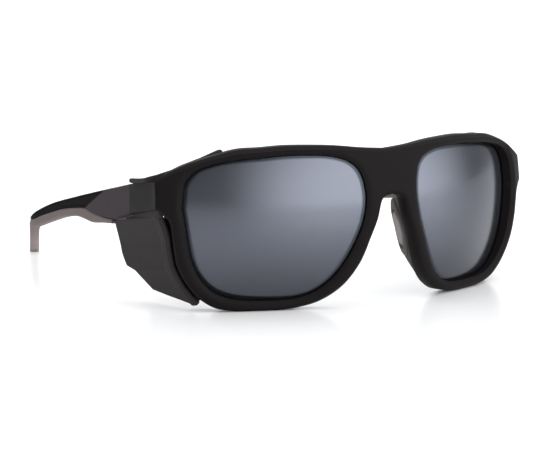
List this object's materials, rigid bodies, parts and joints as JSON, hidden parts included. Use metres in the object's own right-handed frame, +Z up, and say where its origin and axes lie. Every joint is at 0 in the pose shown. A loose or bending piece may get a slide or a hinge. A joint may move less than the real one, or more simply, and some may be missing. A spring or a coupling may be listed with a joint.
{
  "type": "glacier glasses",
  "caption": "Wrap-around mountain sunglasses with dark mirrored lenses, rubber side shields, folding temples with soft grips, and rubber nose pads.",
  "frame": {"origin": "on the table, under the middle of the glasses as they stand on their rims and temple tips", "axes": "+Z up, the front faces -Y, the temples run back along +Y, +X is the wearer's left"},
  "size_m": [0.1396, 0.1644, 0.0509],
  "materials": {
    "frame_nylon": "matt warm black",
    "temple_nylon": "matt black",
    "grip_rubber": "matt taupe",
    "shield_rubber": "matt dark grey",
    "pad_rubber": "matt warm grey",
    "smoke_lens": "smoke tint with a silver flash",
    "hinge_steel": "plain"
  },
  "bodies": {
    "front": {"front_frame": "frame_nylon", "lens_left": "smoke_lens", "nose_pad_left": "pad_rubber", "side_shield_left": "shield_rubber", "hinge_leaf_front_left": "hinge_steel", "hinge_screw_left": "hinge_steel", "front_leaf_screw_left_1": "hinge_steel", "front_leaf_screw_left_2": "hinge_steel", "lens_right": "smoke_lens", "nose_pad_right": "pad_rubber", "side_shield_right": "shield_rubber", "hinge_leaf_front_right": "hinge_steel", "hinge_screw_right": "hinge_steel", "front_leaf_screw_right_1": "hinge_steel", "front_leaf_screw_right_2": "hinge_steel"},
    "temple_left": {"temple_left": "temple_nylon", "temple_grip_left": "grip_rubber", "hinge_leaf_temple_left": "hinge_steel", "temple_leaf_screw_left_1": "hinge_steel", "temple_leaf_screw_left_2": "hinge_steel"},
    "temple_right": {"temple_right": "temple_nylon", "temple_grip_right": "grip_rubber", "hinge_leaf_temple_right": "hinge_steel", "temple_leaf_screw_right_1": "hinge_steel", "temple_leaf_screw_right_2": "hinge_steel"}
  },
  "joints": [
    {"name": "right_temple_fold", "type": "hinge", "parent": "front", "child": "temple_right", "pos_m": [-0.06005, -0.03363, 0.0327], "axis": [0, 0, -1], "range_deg": [0, 84]},
    {"name": "left_temple_fold", "type": "hinge", "parent": "front", "child": "temple_left", "pos_m": [0.06005, -0.03363, 0.0327], "axis": [0, 0, 1], "range_deg": [0, 73]}
  ]
}
